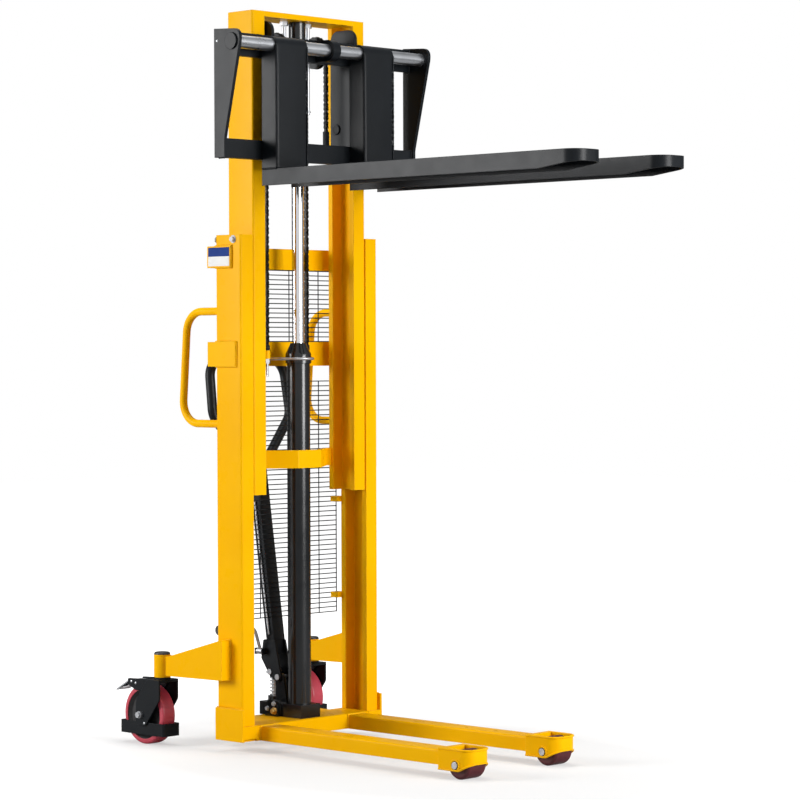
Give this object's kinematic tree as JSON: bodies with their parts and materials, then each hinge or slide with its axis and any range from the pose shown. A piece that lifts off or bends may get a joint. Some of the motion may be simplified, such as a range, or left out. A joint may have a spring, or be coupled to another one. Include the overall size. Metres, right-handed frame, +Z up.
{
  "type": "hand pallet stacker",
  "caption": "Manual hydraulic pallet stacker with a two-stage yellow mast, black forks on a cross shaft, chain lift, pump tiller and swivel casters, mast raised.",
  "frame": {"origin": "on the floor under the middle of the overall box", "axes": "+X towards the fork tips, +Y to the left, +Z up along the mast"},
  "size_m": [1.667, 0.762, 2.068],
  "materials": {
    "yellow_paint": "gloss paint",
    "black_paint": "satin paint",
    "bright_steel": "zinc plated",
    "chrome": "polished",
    "chain_steel": "oiled",
    "roller_steel": "ground",
    "red_tread": "smooth",
    "maroon_roller": "smooth",
    "black_plastic": "matte",
    "pale_nylon": "matte"
  },
  "bodies": {
    "chassis": {"outer_posts": "yellow_paint", "wear_pads": "pale_nylon", "adjusting_screws": "bright_steel", "top_strap": "yellow_paint", "middle_strap": "yellow_paint", "mesh_guard": "black_paint", "post_shoes": "yellow_paint", "base_beam": "yellow_paint", "support_legs": "yellow_paint", "leg_ends": "yellow_paint", "load_axles": "bright_steel", "side_handles": "yellow_paint", "caster_arms": "yellow_paint", "stem_caps": "black_plastic", "pump_block": "black_paint", "lift_cylinder": "black_paint", "cylinder_gland": "black_paint", "cylinder_clamp": "bright_steel", "anchor_bolts": "bright_steel", "chain_rear": "chain_steel", "pump_spring": "bright_steel"},
    "inner_mast": {"inner_posts": "yellow_paint", "top_beam": "yellow_paint", "lower_tie": "yellow_paint", "guide_rods": "bright_steel"},
    "mast_rollers": {"mast_rollers": "roller_steel"},
    "crosshead": {"crosshead": "black_paint", "piston_rod": "chrome", "chain_wrap": "chain_steel", "chain_front": "chain_steel"},
    "chain_wheels": {"chain_wheels": "black_paint"},
    "carriage": {"carriage_plates": "black_paint", "lower_bar": "black_paint", "upper_bar": "black_paint", "chain_clevises": "black_paint", "side_plates": "black_paint", "fork_shaft": "bright_steel"},
    "carriage_rollers_lower": {"carriage_rollers_lower": "roller_steel"},
    "carriage_rollers_upper": {"carriage_rollers_upper": "roller_steel"},
    "fork_left": {"fork_left": "black_paint"},
    "fork_right": {"fork_right": "black_paint"},
    "tiller": {"pump_lever": "black_paint", "lever_pins": "bright_steel", "tiller_loop": "black_paint", "tiller_stem": "black_paint", "release_rod": "bright_steel"},
    "release_pedal": {"release_pedal": "bright_steel"},
    "pump_plunger": {"pump_plunger": "bright_steel"},
    "load_roller_left": {"load_roller_left": "maroon_roller"},
    "load_roller_right": {"load_roller_right": "maroon_roller"},
    "caster_left": {"caster_yoke_left": "black_paint", "caster_axle_left": "bright_steel"},
    "caster_wheel_left": {"caster_hub_left": "black_plastic", "caster_tread_left": "red_tread"},
    "brake_left": {"brake_pedal_left": "bright_steel"},
    "caster_right": {"caster_yoke_right": "black_paint", "caster_axle_right": "bright_steel"},
    "caster_wheel_right": {"caster_hub_right": "black_plastic", "caster_tread_right": "red_tread"},
    "brake_right": {"brake_pedal_right": "bright_steel"}
  },
  "joints": [
    {"name": "mast_lift", "type": "slide", "parent": "chassis", "child": "inner_mast", "axis": [0, 0, 1], "range_m": [-0.64, 0], "deforming": ["chain_rear", "chain_front"]},
    {"name": "crosshead_lift", "type": "slide", "parent": "inner_mast", "child": "crosshead", "axis": [0, 0, 1], "range_m": [-0.1265, 0]},
    {"name": "carriage_lift", "type": "slide", "parent": "inner_mast", "child": "carriage", "axis": [0, 0, 1], "range_m": [-0.893, 0]},
    {"name": "mast_roller_spin", "type": "hinge", "parent": "inner_mast", "child": "mast_rollers", "pos_m": [-0.406, 0, 0.763], "axis": [0, 1, 0], "continuous": true},
    {"name": "chain_wheel_spin", "type": "hinge", "parent": "crosshead", "child": "chain_wheels", "pos_m": [-0.41, 0, 1.972], "axis": [0, 1, 0], "continuous": true},
    {"name": "carriage_roller_lower_spin", "type": "hinge", "parent": "carriage", "child": "carriage_rollers_lower", "pos_m": [-0.406, 0, 1.758], "axis": [0, 1, 0], "continuous": true},
    {"name": "carriage_roller_upper_spin", "type": "hinge", "parent": "carriage", "child": "carriage_rollers_upper", "pos_m": [-0.406, 0, 1.99], "axis": [0, 1, 0], "continuous": true},
    {"name": "fork_left_slide", "type": "slide", "parent": "carriage", "child": "fork_left", "axis": [0, 1, 0], "range_m": [0, 0.12]},
    {"name": "fork_right_slide", "type": "slide", "parent": "carriage", "child": "fork_right", "axis": [0, 1, 0], "range_m": [-0.12, 0]},
    {"name": "tiller_swing", "type": "hinge", "parent": "chassis", "child": "tiller", "pos_m": [-0.4725, 0, 0.185], "axis": [0, -1, 0], "range_deg": [0, 50], "stiffness_Nm_per_rad": 45, "springref_deg": -28.65},
    {"name": "pump_stroke", "type": "slide", "parent": "chassis", "child": "pump_plunger", "axis": [0, 0, 1], "range_m": [-0.03, 0], "deforming": ["pump_spring"]},
    {"name": "release_press", "type": "hinge", "parent": "tiller", "child": "release_pedal", "pos_m": [-0.5315, -0.033, 0.257], "axis": [1, 0, 0], "range_deg": [0, 15], "stiffness_Nm_per_rad": 4, "springref_deg": -22.92},
    {"name": "load_roller_left_spin", "type": "hinge", "parent": "chassis", "child": "load_roller_left", "pos_m": [0.4065, 0.172, 0.039], "axis": [0, 1, 0], "continuous": true},
    {"name": "load_roller_right_spin", "type": "hinge", "parent": "chassis", "child": "load_roller_right", "pos_m": [0.4065, -0.172, 0.039], "axis": [0, 1, 0], "continuous": true},
    {"name": "caster_left_swivel", "type": "hinge", "parent": "chassis", "child": "caster_left", "pos_m": [-0.6615, 0.2945, 0.226], "axis": [0, 0, 1], "continuous": true},
    {"name": "caster_left_spin", "type": "hinge", "parent": "caster_left", "child": "caster_wheel_left", "pos_m": [-0.7155, 0.2945, 0.085], "axis": [0, 1, 0], "continuous": true},
    {"name": "brake_left_press", "type": "hinge", "parent": "caster_left", "child": "brake_left", "pos_m": [-0.7615, 0.2945, 0.1765], "axis": [0, -1, 0], "range_deg": [0, 12]},
    {"name": "caster_right_swivel", "type": "hinge", "parent": "chassis", "child": "caster_right", "pos_m": [-0.6615, -0.2945, 0.226], "axis": [0, 0, 1], "continuous": true},
    {"name": "caster_right_spin", "type": "hinge", "parent": "caster_right", "child": "caster_wheel_right", "pos_m": [-0.7155, -0.2945, 0.085], "axis": [0, 1, 0], "continuous": true},
    {"name": "brake_right_press", "type": "hinge", "parent": "caster_right", "child": "brake_right", "pos_m": [-0.7615, -0.2945, 0.1765], "axis": [0, -1, 0], "range_deg": [0, 12]}
  ],
  "couplings": [
    {"joint": "crosshead_lift", "follows": "mast_lift", "ratio": 0.19766},
    {"joint": "carriage_lift", "follows": "mast_lift", "ratio": 1.3953},
    {"joint": "mast_roller_spin", "follows": "mast_lift", "rad_per_m": -28.409},
    {"joint": "chain_wheel_spin", "follows": "mast_lift", "rad_per_m": -28.859},
    {"joint": "carriage_roller_lower_spin", "follows": "mast_lift", "rad_per_m": -39.64},
    {"joint": "carriage_roller_upper_spin", "follows": "mast_lift", "rad_per_m": 39.64},
    {"joint": "pump_stroke", "follows": "tiller_swing", "m_per_rad": -0.034}
  ]
}
